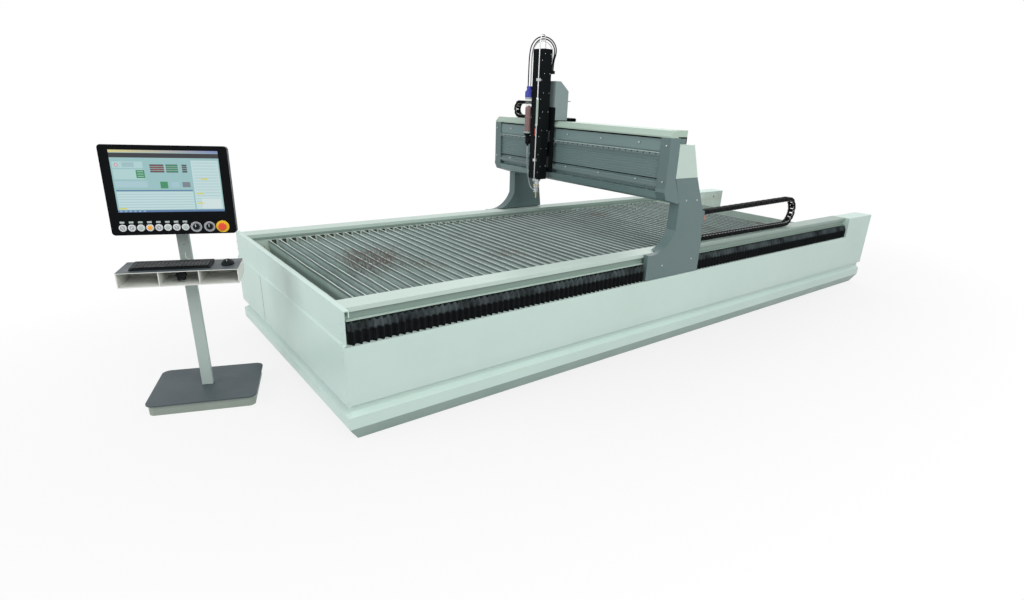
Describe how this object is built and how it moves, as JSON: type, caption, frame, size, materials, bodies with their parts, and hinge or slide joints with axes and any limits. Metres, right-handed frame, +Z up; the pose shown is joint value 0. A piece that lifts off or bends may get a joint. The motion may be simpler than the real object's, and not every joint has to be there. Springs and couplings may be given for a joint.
{
  "type": "waterjet cutting machine",
  "caption": "Gantry waterjet cutting machine with a slatted tank, bellows-covered side casings, a travelling bridge with lifting head, and a freestanding operator console.",
  "frame": {"origin": "centre of the bed's footprint on the floor", "axes": "+X along the bed's long side away from the console, +Y to the far side, +Z up"},
  "size_m": [7.0581, 2.15, 2.3607],
  "materials": {
    "pale_enamel": "satin",
    "cover_white": "satin",
    "tank_steel": "worn satin",
    "slat_steel": "worn",
    "machine_grey": "satin",
    "bright_steel": "ground",
    "bellows_black": "matt",
    "chain_black": "matt",
    "column_black": "satin",
    "nozzle_brass": "worn",
    "clear_hopper": "clear",
    "cap_blue": "gloss",
    "clear_tube": "gloss",
    "hose_black": "matt",
    "slate_plate": "fine texture",
    "pole_grey": "satin",
    "tray_white": "satin",
    "key_black": "matt",
    "screen_glass": "gloss",
    "button_white": "gloss",
    "ring_yellow": "gloss",
    "stop_red": "gloss"
  },
  "bodies": {
    "bed": {"plinth_sides": "pale_enamel", "plinth_ends": "pale_enamel", "side_panels": "pale_enamel", "rail_covers": "cover_white", "casing_end_caps": "pale_enamel", "left_end_panel": "pale_enamel", "tank_side_walls": "tank_steel", "tank_floor": "tank_steel", "tank_end_walls": "tank_steel", "slat_bank": "slat_steel", "slat_combs": "tank_steel", "rail_beams": "machine_grey", "bed_guide_rails": "bright_steel", "left_bellows": "bellows_black", "right_bellows": "bellows_black", "console_base": "cover_white", "console_base_plate": "slate_plate", "console_pole": "pole_grey", "keyboard_tray": "tray_white", "keyboard": "key_black", "mouse": "key_black", "mouse_cable": "tray_white", "clamp_knob": "key_black", "monitor_housing": "key_black", "monitor_bracket": "pole_grey", "screen": "screen_glass", "push_buttons": "button_white", "e_stop_ring": "ring_yellow"},
    "gantry": {"legs": "machine_grey", "leg_covers": "cover_white", "leg_runners": "bright_steel", "beam": "machine_grey", "beam_ends": "machine_grey", "beam_top_cover": "cover_white", "beam_guide_rails": "bright_steel", "bed_energy_chain": "chain_black", "chain_bracket": "machine_grey", "beam_energy_chain": "chain_black"},
    "carriage": {"carriage_plate": "column_black", "carriage_runners": "bright_steel", "motor_housing": "machine_grey", "chain_arm": "machine_grey"},
    "head": {"z_column": "column_black", "z_guide_rails": "bright_steel", "cutting_head": "bright_steel", "focusing_tube": "nozzle_brass", "abrasive_hopper": "clear_hopper", "hopper_cap": "cap_blue", "hopper_valve": "chain_black", "tube_clamps": "bright_steel", "high_pressure_tube": "bright_steel", "abrasive_tube": "clear_tube", "head_hoses": "hose_black", "hose_clamp": "chain_black", "feed_tube": "clear_tube", "tube_sleeve": "pole_grey"},
    "stop_button": {"e_stop_button": "stop_red"},
    "left_knob": {"left_override_knob": "key_black"},
    "right_knob": {"right_override_knob": "key_black"}
  },
  "joints": [
    {"name": "gantry_travel", "type": "slide", "parent": "bed", "child": "gantry", "axis": [1, 0, 0], "range_m": [-2.05, 2.3], "deforming": ["left_bellows", "right_bellows"]},
    {"name": "carriage_travel", "type": "slide", "parent": "gantry", "child": "carriage", "axis": [0, 1, 0], "range_m": [-1.115, 0.525]},
    {"name": "head_lift", "type": "slide", "parent": "carriage", "child": "head", "axis": [0, 0, 1], "range_m": [-0.25, 0]},
    {"name": "e_stop_press", "type": "slide", "parent": "bed", "child": "stop_button", "axis": [0.3407, 0.9361, -0.0872], "range_m": [0, 0.006], "stiffness_N_per_m": 600},
    {"name": "left_override_turn", "type": "hinge", "parent": "bed", "child": "left_knob", "pos_m": [-3.53956, -0.13949, 1.10275], "axis": [-0.3407, -0.9361, 0.0872], "range_deg": [-150, 150]},
    {"name": "right_override_turn", "type": "hinge", "parent": "bed", "child": "right_knob", "pos_m": [-3.4766, -0.1624, 1.10275], "axis": [-0.3407, -0.9361, 0.0872], "range_deg": [-150, 150]}
  ]
}
